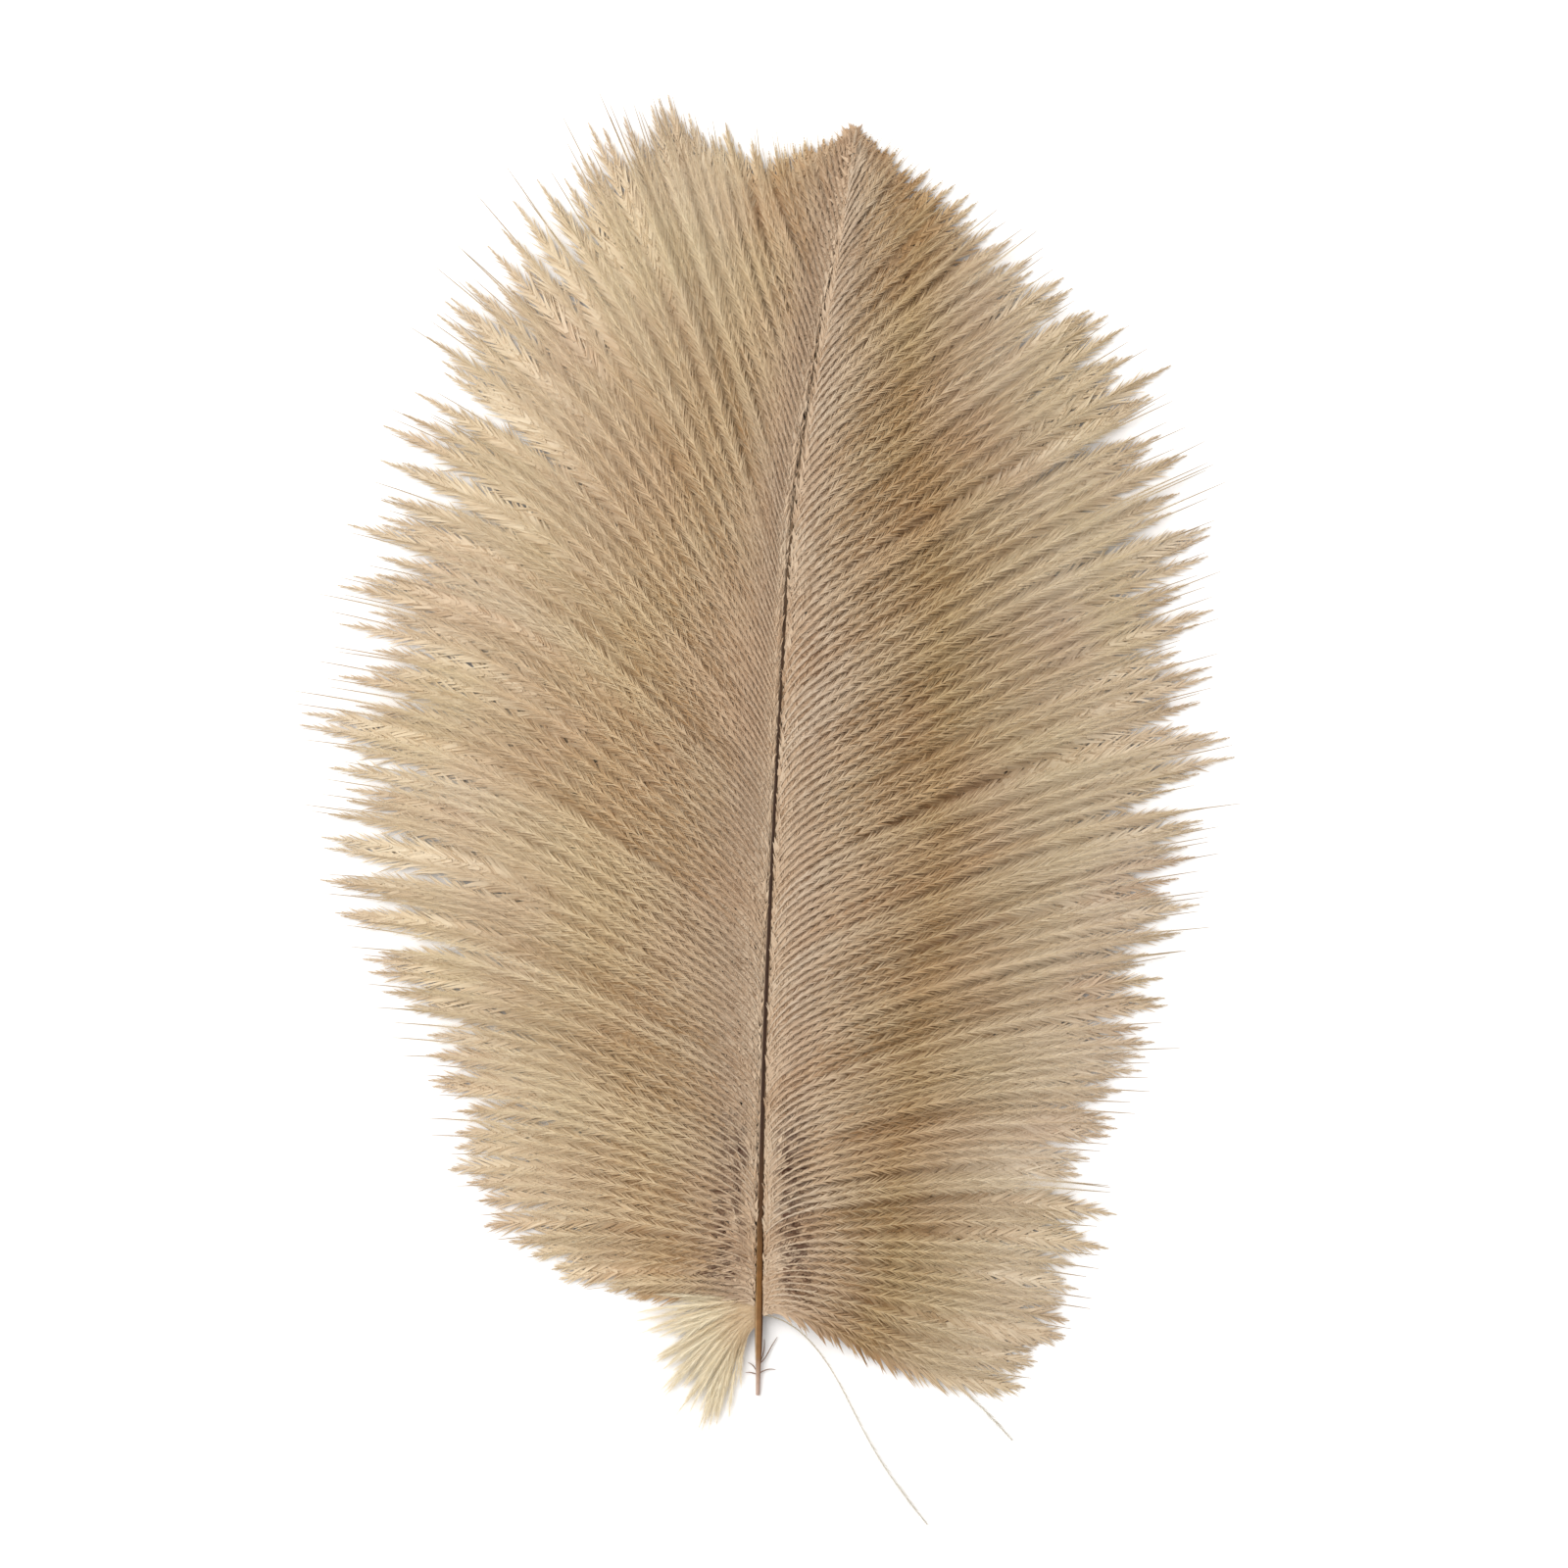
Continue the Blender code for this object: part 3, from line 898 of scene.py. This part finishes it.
@dataclass(frozen=True)
class ShadowGaps:
    """The short gaps between the crowded barbs of a row's foot, by distance from the quill in mm, where the
    under layer is painted a dark shadow tone.

    depth is the least and most of that painted shadow that a gap takes. Dashed gaps come and go by dash
    and edge. Barbules are shorter over a gap by thinning and bare, and more so on barbs whose level is
    below low.
    """

    start: Pair = (1.6, 3.6)
    end: float = 9.5
    foot: Pair = (0.0, 0.03)
    share: float = 0.26
    fade: float = 0.6
    dash: float = 2.3
    edge: float = 0.25
    depth: Pair = (0.75, 1.0)
    thinning: float = 0.85
    bare: Pair = (0.78, 0.2)
    low: Pair = (0.7, 0.2)

    def at(self, share: Array, distance: Array, drawn: Chances, dashed: bool) -> Array:
        """How much each point lies in a gap.

        Args:
            share: places of the barbs along the row.
            distance: distances of the points from the quill.
            drawn: the layer's random numbers.
            dashed: whether the gaps are broken into short dashes.

        Returns:
            A value from 0 to 1 for each barb and point.
        """
        beside = ease(distance, *self.start) * (1 - ease(distance, self.end * self.fade, self.end))
        beside = beside * (ease(share, *self.foot) * (1 - ease(share, self.share * self.fade, self.share)))
        dashes = ease(np.sin(drawn.dash + distance * self.dash), -self.edge, self.edge) if dashed else 1.0
        return beside * dashes * drawn.gap

    def cover(self, gap: Array, level: Array) -> Array:
        """Share of the barbules' length that is left where a gap shows through them."""
        lies_low = ease(self.low[0] - level, 0.0, self.low[1])
        return 1 - self.thinning * (gap * (self.bare[0] + self.bare[1] * lies_low))


@dataclass(frozen=True)
class Habit:
    """How a row's barbs cling in locks, wave and stray, in degrees.

    Pairs ending in places are where along a barb an effect sets in and where it is full. stretch and clump
    are the least and most that a lock's length is scaled and its barbs are drawn together.
    """

    lock_size: tuple[int, int] = (2, 5)
    lock_wander: float = 0.85
    lock_places: Pair = (0.1, 0.9)
    barb_wander: float = 1.1
    barb_places: Pair = (0.04, 0.3)
    stray_share: float = 0.1
    stray: float = 3.2
    wave: float = 0.8
    wave_turn: float = 5.0
    wave_places: Pair = (0.05, 0.5)
    stretch: Pair = (0.965, 1.04)
    own_stretch: Pair = (0.94, 1.045)
    own_level: float = 0.25
    clump: Pair = (0.02, 0.3)
    clump_places: Pair = (0.12, 0.7)
    loosening: float = 0.5
    loosening_places: Pair = (0.75, 1.0)

    def draw(self, seed: int, layer: Layer, gaps: ShadowGaps) -> Chances:
        """Draw a layer's random numbers.

        Args:
            seed: the row's seed.
            layer: the layer that they are for.
            gaps: the gaps at the row's foot.

        Returns:
            The numbers.
        """
        chance = np.random.default_rng([seed, layer.barbs])
        each = (layer.barbs, 1)
        sizes = chance.integers(*self.lock_size, size=layer.barbs)
        lock = np.repeat(np.arange(layer.barbs), sizes)[:layer.barbs]
        locks = lock.max() + 1
        turn, wave = chance.normal(0, self.lock_wander * layer.cling, (2, locks))
        phase, stretch, clump, level, tone = (
            chance.uniform(*limits, locks)[lock][:, None]
            for limits in ((0, 2 * math.pi), self.stretch, self.clump, (0, 1), (0, 1)))
        return Chances(
            lock, turn[lock][:, None], wave[lock][:, None], phase, stretch, clump, level, tone,
            own_stretch=chance.uniform(*self.own_stretch, each),
            stray=chance.normal(0, self.stray, each) * (chance.random(each) < self.stray_share),
            own_turn=chance.normal(0, self.barb_wander * layer.roam, each),
            own_level=chance.uniform(0, self.own_level, each),
            dash=chance.uniform(0, 2 * math.pi, each),
            gap=chance.uniform(*gaps.depth, each),
        )

    def level(self, drawn: Chances) -> Array:
        """How high each barb lies among its neighbours, from 0 to 1."""
        return np.clip(drawn.level * (1 - self.own_level) + drawn.own_level, 0, 1)

    def wander(self, t: Array, drawn: Chances, cling: float) -> Array:
        """Turn of each barb away from the row's law, with its lock and by itself.

        Args:
            t: shares of the barb's length.
            drawn: the layer's random numbers.
            cling: how much of its strays the layer keeps.

        Returns:
            Degrees for each barb and point.
        """
        shared = (drawn.turn + drawn.stray * cling) * ease(t, *self.lock_places)
        return shared + drawn.own_turn * ease(t, *self.barb_places)

    def waves(self, t: Array, drawn: Chances) -> Array:
        """Slow wave of each lock's barbs, in degrees for each barb and point."""
        wave = self.wave * drawn.wave * np.sin(drawn.phase + self.wave_turn * t)
        return wave * ease(t, *self.wave_places)

    def gathered(self, line: Array, t: Array, drawn: Chances, cling: float) -> Array:
        """Lines drawn in towards the middle of their lock, and looser again at their tips.

        Args:
            line: x and y for each barb and point.
            t: shares of the barb's length.
            drawn: the layer's random numbers.
            cling: how much the locks of the layer gather.

        Returns:
            New x and y for each barb and point.
        """
        gather = cling * drawn.clump * ease(t, *self.clump_places)
        gather = gather * (1 - self.loosening * ease(t, *self.loosening_places))
        centre = np.zeros((drawn.lock.max() + 1, *line.shape[1:]))
        np.add.at(centre, drawn.lock, line)
        centre /= np.bincount(drawn.lock)[:, None, None]
        return line + (centre[drawn.lock] - line) * gather[..., None]


@dataclass(frozen=True)
class BarbRow:
    """A row of barbs with the laws of its plan and its heights.

    lengths (mm), middles and ends (degrees above level, halfway and at the tip), crowd, root_heading,
    root_turn and ripe_length are read by place along the row, from 0 at the foot to 1. foot, crowding and
    spreading place the roots on the quill. Short barbs are thinner, flatter and less lifted, by the pairs
    ending in full. A low barb sinks in where sink_places says. Barbs shorter than ripe_length keep the tones
    and dress of a long one's inner part, save near their tips.
    """

    node: str
    side: Side
    lengths: Stations
    middles: Stations
    ends: Stations
    seed: int
    parts: tuple[str, ...]
    layers: tuple[Layer, ...]
    crowd: Stations = law((0, 1.0), (1, 1.0))
    fineness: int = 400
    steps: int = 30
    packing: float = 1.4
    foot: float = 12.9
    crowding: float = 108.0
    spreading: float = 60.0
    root_heading: Stations = law((0, 44), (0.05, 60), (0.12, 72), (0.5, 74), (0.92, 74), (0.985, 86))
    root_turn: Stations = law((0, 2.4), (0.06, 3.4), (0.16, 5.6), (1, 5.6))
    last: float = 0.992
    bend_from: float = 0.4
    crown: float = 2.8
    crown_full: Pair = (40.0, 0.0)
    crown_shape: float = 0.6
    fall: float = 0.9
    tip_top: float = 1.0
    sink: Pair = (0.5, 0.45)
    sink_places: Pair = (0.05, 0.5)
    table_gap: float = 0.2
    ripe_length: Stations = law((0, 34), (0.12, 42), (0.25, 52), (1, 52))
    late_places: Pair = (0.5, 0.9)
    late_taper: float = 1.2
    tip_places: Pair = (0.85, 1.0)
    thickness_full: Pair = (36.0, 0.34)
    lift_full: Pair = (55.0, 0.35)
    habit: Habit = Habit()
    gaps: ShadowGaps = ShadowGaps()
    part_seed: int = 1000
    layer_seed: int = 300

    def guides(self, layer: Layer) -> Guides:
        """Lines of all the barbs of one layer, from the foot to the tip.

        Args:
            layer: the layer to lay out.

        Returns:
            The barbs' guides.
        """
        drawn = self.habit.draw(self.seed, layer, self.gaps)
        share = self.shares(layer.barbs, layer.crowding)[:, None]
        t = (np.arange(self.steps) / (self.steps - 1)) ** self.packing
        length = self.lengths.at(share) * layer.reach * drawn.stretch * drawn.own_stretch
        cling = min(layer.cling, 1)
        root = (self.foot + self.crowding * share + self.spreading * share**2)[:, 0]
        start = QUILL.points(root)
        start[:, 0] += self.side.value * QUILL.radius.at(root)
        heading = self.headings(share, t, length) + self.habit.wander(t, drawn, cling)
        line = follow(self.side, start, heading + self.habit.waves(t, drawn), np.diff(t, prepend=0) * length)
        line = self.habit.gathered(line, t, drawn, cling)
        level = self.habit.level(drawn) * layer.light
        z = self.height(start[:, 2:3], t, length, level) * layer.rise.at(t)
        whole = np.broadcast_to(t, line.shape[:2])
        ripe = np.minimum(whole, t * length / self.ripe_length.at(share))
        late = ripe + (whole - ripe) * ease(whole, *self.late_places)
        taper = layer.taper.at(whole) * (1 - self.late_taper * (late - ripe))
        gap = self.gaps.at(share, t * length, drawn, layer.underneath)
        return Guides(
            points=np.concatenate([line, np.maximum(z, self.table_gap)[..., None]], axis=-1),
            along=ripe + (whole - ripe) * ease(whole, *self.tip_places),
            tone=np.broadcast_to(drawn.tone, whole.shape),
            # Painted shadow: only the under layer takes the dark tone of the gaps at the foot.
            deep=gap if layer.underneath else 0 * gap,
            level=np.broadcast_to(level, whole.shape),
            thickness=layer.thickness.at(whole) * shrink(length, self.thickness_full),
            fluff=layer.fluff.at(ripe) * taper * (1 if layer.underneath else self.gaps.cover(gap, level)),
            breadth=layer.breadth.at(late),
            splay=np.radians(np.minimum(layer.splay.at(ripe), layer.splay.at(whole))),
            lift=layer.lift.at(whole) * shrink(length, self.lift_full),
        )

    def headings(self, share: Array, t: Array, length: Array) -> Array:
        """Headings of the barbs by the row's laws, from the turn at the root to the bend at the tip.

        Args:
            share: places of the barbs along the row.
            t: shares of the barb's length.
            length: the barbs' lengths.

        Returns:
            Degrees above level for each barb and point.
        """
        middle = self.middles.at(share)
        turn_in = (self.root_heading.at(share) - middle) * np.exp(-t * length / self.root_turn.at(share))
        return middle + turn_in + (self.ends.at(share) - middle) * ease(t, self.bend_from, 1)

    def shares(self, barbs: int, crowding: float) -> Array:
        """Places of the barbs along the row, closer together where the row is crowded.

        Args:
            barbs: how many barbs there are.
            crowding: how strongly they follow the row's crowding.

        Returns:
            One share from 0 to 1 for each barb.
        """
        fine = np.linspace(0, 1, self.fineness)
        crowd = np.cumsum(self.crowd.at(fine) ** crowding)
        crowd = (crowd - crowd[0]) / (crowd[-1] - crowd[0])
        return self.last * np.interp((np.arange(barbs) + 0.5) / barbs, crowd, fine)

    def height(self, root: Array, t: Array, length: Array, level: Array) -> Array:
        """Height of the barbs above the table.

        Args:
            root: height of the quill at each barb.
            t: shares of the barb's length.
            length: the barbs' lengths.
            level: how high each barb lies among its neighbours, from 0 to 1.

        Returns:
            A height for each barb and share.
        """
        crown = self.crown * shrink(length, self.crown_full)
        top = self.tip_top + (root - self.tip_top) * (1 - t) ** self.fall
        top = top + crown * np.sin(math.pi * t**self.crown_shape)
        return top * (1 - (self.sink[0] - self.sink[1] * level) * ease(t, *self.sink_places))

    def build(self) -> list[Object]:
        """Grow the row, layer by layer and the first layer in parts.

        Returns:
            The pieces, from the foot to the tip.
        """
        pieces = []
        for depth, layer in enumerate(self.layers):
            guides = self.guides(layer)
            parts = self.parts if depth == 0 else ("under",)
            for number, rows in enumerate(np.array_split(np.arange(layer.barbs), len(parts))):
                name = f"{self.node}_{parts[number]}"
                seed = self.seed + self.part_seed * number + self.layer_seed * depth
                pieces.append(layer.dress.apply(name, guides.part(rows), self.node, seed))
        return pieces


@dataclass(frozen=True)
class LooseBarb:
    """A barb that hangs by itself: its root's distance up the feather, its length, headings and turn.

    The turn is the distance over which it leaves its first heading, and inset is the share of the quill's
    radius that its root stands out.
    """

    side: Side
    root: float
    length: float
    start: float
    middle: float
    end: float
    turn: float
    bend_from: float = 0.4
    inset: float = 0.7
    tip_height: float = 0.35
    tone: float = 0.4
    level: float = 0.8

    def guides(self, layer: Layer, steps: int = 40) -> Guides:
        """The barb's own line.

        Args:
            layer: the laws of its barbules and its thickness.
            steps: points on the line.

        Returns:
            Guides of one barb.
        """
        t = np.linspace(0, 1, steps)[None, :]
        heading = (self.middle + (self.start - self.middle) * np.exp(-t * self.length / self.turn)
                   + (self.end - self.middle) * ease(t, self.bend_from, 1))
        root = QUILL.points(np.array([self.root]))
        root[:, 0] += self.side.value * QUILL.radius.at(self.root) * self.inset
        line = follow(self.side, root, heading, np.diff(t, prepend=0) * self.length)
        z = self.tip_height + (root[:, 2:3] - self.tip_height) * (1 - t) ** 2
        points = np.concatenate([line, z[..., None]], axis=-1)
        tone, deep, level = (np.full_like(t, value) for value in (self.tone, 0, self.level))
        return Guides(points, t, tone, deep, level, layer.thickness.at(t), layer.fluff.at(t),
                      layer.breadth.at(t), np.radians(layer.splay.at(t)), layer.lift.at(t))


@dataclass(frozen=True)
class LooseBarbs:
    """Loose barbs of one kind, grown as one piece."""

    name: str
    node: str
    layer: Layer
    barbs: tuple[LooseBarb, ...]
    seed: int = 21

    def build(self) -> Object:
        """Grow the barbs.

        Returns:
            The piece.
        """
        each = [barb.guides(self.layer) for barb in self.barbs]
        joined = Guides(*(np.concatenate([getattr(one, key) for one in each])
                          for key in Guides.__dataclass_fields__))
        return self.layer.dress.apply(self.name, joined, self.node, self.seed)


@dataclass(frozen=True)
class Quill:
    """The quill, from its cut end to the feather's tip."""

    line: QuillLine = QUILL
    points: int = 110
    packing: float = 1.15
    slim: Stations = law((0, 0.98), (110, 0.98), (165, 0.85), (182, 0.2))

    def build(self) -> Object:
        """Sweep the quill.

        Returns:
            The piece.
        """
        heights = self.line.length * np.linspace(0, 1, self.points) ** self.packing
        laws = {"thickness": self.line.radius.at(heights) * self.slim.at(heights) * MM,
                "up": heights / self.line.length}
        mesh = line_mesh("quill_horn", PLAN.place(self.line.points(heights))[None], laws)
        piece = grow("quill_horn", mesh, QuillTree().tree(), {"Finish": HornFinish().material()},
                     kept=("up",))
        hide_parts("quill")
        return piece


PLACES = (0, 0.044, 0.116, 0.18, 0.266, 0.362, 0.451, 0.535, 0.614, 0.689, 0.761, 0.83, 0.896, 0.935, 0.968,
          0.985)
LEFT_PLACES = (0, 0.044, 0.116, 0.266, 0.362, 0.451, 0.535, 0.614, 0.689, 0.83, 0.935, 0.968, 0.985)
RIGHT_PLACES = (0, 0.044, 0.116, 0.266, 0.451, 0.614, 0.761, 0.896, 0.935, 0.968, 0.985)
TUFT_PLACES = (0, 0.2, 0.4, 0.6, 0.8, 1)
LEFT_VANE = BarbRow(
    node="left_vane",
    side=Side.LEFT,
    lengths=law_at(PLACES, 19, 37, 50, 58, 68, 75, 76, 77, 79, 72.5, 56.5, 38.5, 23.5, 15, 8.3, 4.4),
    middles=law_at(LEFT_PLACES, -1, 7, 19, 28, 33, 41, 50, 62, 72, 70, 70, 78, 88),
    ends=law_at(LEFT_PLACES, -13, -8, 0, 6, 8, 11, 24, 49, 70, 80, 84, 90, 98),
    seed=105,
    parts=("foot", "lower", "upper", "tip"),
    layers=(LEFT_TOP, LEFT_LOWER),
    crowd=law((0, 1.2), (0.12, 1.05), (0.42, 1.1), (0.52, 1.4), (0.64, 1.45), (0.74, 1.2), (1, 1.2)),
)
RIGHT_VANE = BarbRow(
    node="right_vane",
    side=Side.RIGHT,
    lengths=law_at(PLACES, 39, 45.5, 52, 59, 65, 70, 71.5, 71, 68.5, 61.5, 50, 36.5, 23.5, 15.5, 8.3, 4.4),
    middles=law_at(RIGHT_PLACES, -27, -9, 8, 18, 25, 31, 36, 43, 50, 62, 74),
    ends=law_at(RIGHT_PLACES, -8, -11, -6, 7, 15, 26, 34, 42, 52, 68, 80),
    seed=153,
    foot=11.7,
    crowding=109.2,
    parts=("foot", "lower", "upper", "tip"),
    layers=(TOP_LAYER, UNDER_LAYER),
    crowd=law((0, 1.4), (0.12, 1.05), (0.3, 1.0), (0.85, 1.0), (1, 1.2)),
)
DOWN_TUFT = BarbRow(
    node="down_tuft",
    side=Side.LEFT,
    lengths=law_at(TUFT_PLACES, 11.5, 16, 17.5, 16.5, 16, 15),
    middles=law_at(TUFT_PLACES, -80, -70, -58, -43, -24, -2),
    ends=law_at(TUFT_PLACES, -88, -78, -62, -45, -26, -4),
    seed=13,
    parts=("fan",),
    layers=(DOWN_LAYER,),
    foot=9.9,
    crowding=3.8,
    spreading=0.0,
    last=1.0,
    ripe_length=law((0, 14), (1, 14)),
    root_heading=law((0, -30), (0.7, 0), (1, 34)),
    root_turn=law((0, 1.8), (1, 2.4)),
    crown=1.2,
    habit=Habit(lock_size=(1, 4), lock_wander=1.6, stray_share=0.3, stretch=(0.7, 1.08), clump=(0.1, 0.5)),
)
LOOSE_BARBS = LooseBarbs("loose_barbs", "right_vane", LOOSE_LAYER, (
    LooseBarb(Side.RIGHT, 11.7, 39.5, 2.0, -70.0, -52.0, 7.5),
    LooseBarb(Side.RIGHT, 12.35, 41.5, 8.0, -22.0, -48.0, 4.0),
))
WISPS = LooseBarbs("calamus_wisps", "quill", WISP_LAYER, (
    LooseBarb(Side.LEFT, 3.4, 1.8, 70.0, 40.0, 20.0, 0.8),
    LooseBarb(Side.LEFT, 3.0, 1.6, 20.0, 5.0, -10.0, 0.8),
    LooseBarb(Side.RIGHT, 4.7, 4.4, 30.0, 66.0, 55.0, 0.9),
    LooseBarb(Side.RIGHT, 4.9, 3.2, 60.0, 82.0, 92.0, 0.9),
    LooseBarb(Side.RIGHT, 3.2, 2.4, 40.0, 8.0, -14.0, 0.8),
), seed=23)


# ---------------------------------------------------------------------------------------------------------
# Studio


@dataclass(frozen=True)
class Studio:
    """A pale plain floor, soft light and a camera that looks straight down."""

    scale: float = 0.14
    frame_pixels: int = 1600
    cut_end_pixel: Pair = (773.0, 1427.0)
    lens: float = 100.0
    sensor: float = 36.0
    focus_height: float = 4.0
    floor_reach: float = 1.5
    floor_colour: tuple = (0.94, 0.92, 0.9, 1)
    floor_roughness: float = 0.9
    world_strength: float = 0.68 * STUDIO_LIGHT
    lamp_energy: float = 8.8 * STUDIO_LIGHT
    lamp_size: float = 1.0
    lamp_place: tuple[float, float, float] = (-0.6, 0.34, 0.95)

    def camera(self) -> None:
        """Set the camera so that the picture's middle is the photograph's."""
        middle = self.frame_pixels / 2
        x = (middle - self.cut_end_pixel[0]) * self.scale + PLAN.x
        y = (self.cut_end_pixel[1] - middle) * self.scale + PLAN.y
        width = self.frame_pixels * self.scale
        data = bpy.data.cameras.new("camera")
        data.lens = self.lens
        data.sensor_width = self.sensor
        camera = bpy.data.objects.new("camera", data)
        camera.location = (x * MM, y * MM, (self.focus_height + width * self.lens / self.sensor) * MM)
        bpy.context.scene.collection.objects.link(camera)
        bpy.context.scene.camera = camera

    def floor(self) -> None:
        """Lay the floor."""
        mesh = bpy.data.meshes.new("floor")
        reach = self.floor_reach
        corners = [(-reach, -reach, 0), (reach, -reach, 0), (reach, reach, 0), (-reach, reach, 0)]
        mesh.from_pydata(corners, [], [(0, 1, 2, 3)])
        floor = bpy.data.objects.new("floor", mesh)
        material, shader = new_material("floor", self.floor_roughness)
        shader.inputs["Base Color"].default_value = self.floor_colour
        mesh.materials.append(material)
        bpy.context.scene.collection.objects.link(floor)

    def lights(self) -> None:
        """Soft even light from all round, and a large lamp high on the left."""
        world = bpy.data.worlds.new("studio")
        world.use_nodes = True
        background = world.node_tree.nodes["Background"].inputs
        background["Color"].default_value = (1, 1, 1, 1)
        background["Strength"].default_value = self.world_strength
        bpy.context.scene.world = world
        lamp = bpy.data.lights.new("softbox", "AREA")
        lamp.shape = "DISK"
        lamp.size = self.lamp_size
        lamp.energy = self.lamp_energy
        softbox = bpy.data.objects.new("softbox", lamp)
        softbox.location = self.lamp_place
        aim = -np.array(softbox.location)
        softbox.rotation_euler = (math.atan2(math.hypot(aim[0], aim[1]), -aim[2]), 0,
                                  math.atan2(-aim[0], aim[1]))
        bpy.context.scene.collection.objects.link(softbox)

    def build(self) -> None:
        """Set up the studio."""
        self.floor()
        self.lights()
        self.camera()
        bpy.context.scene.view_settings.view_transform = "Standard"
        log.info("studio: camera, floor and lights")


def main() -> None:
    """Dress the feather and set up the studio."""
    logging.basicConfig(level=logging.INFO, format="%(name)s %(message)s")
    for part in (LEFT_VANE, RIGHT_VANE, DOWN_TUFT, LOOSE_BARBS, WISPS, Quill(), Studio()):
        part.build()


if __name__ == "__main__":
    main()
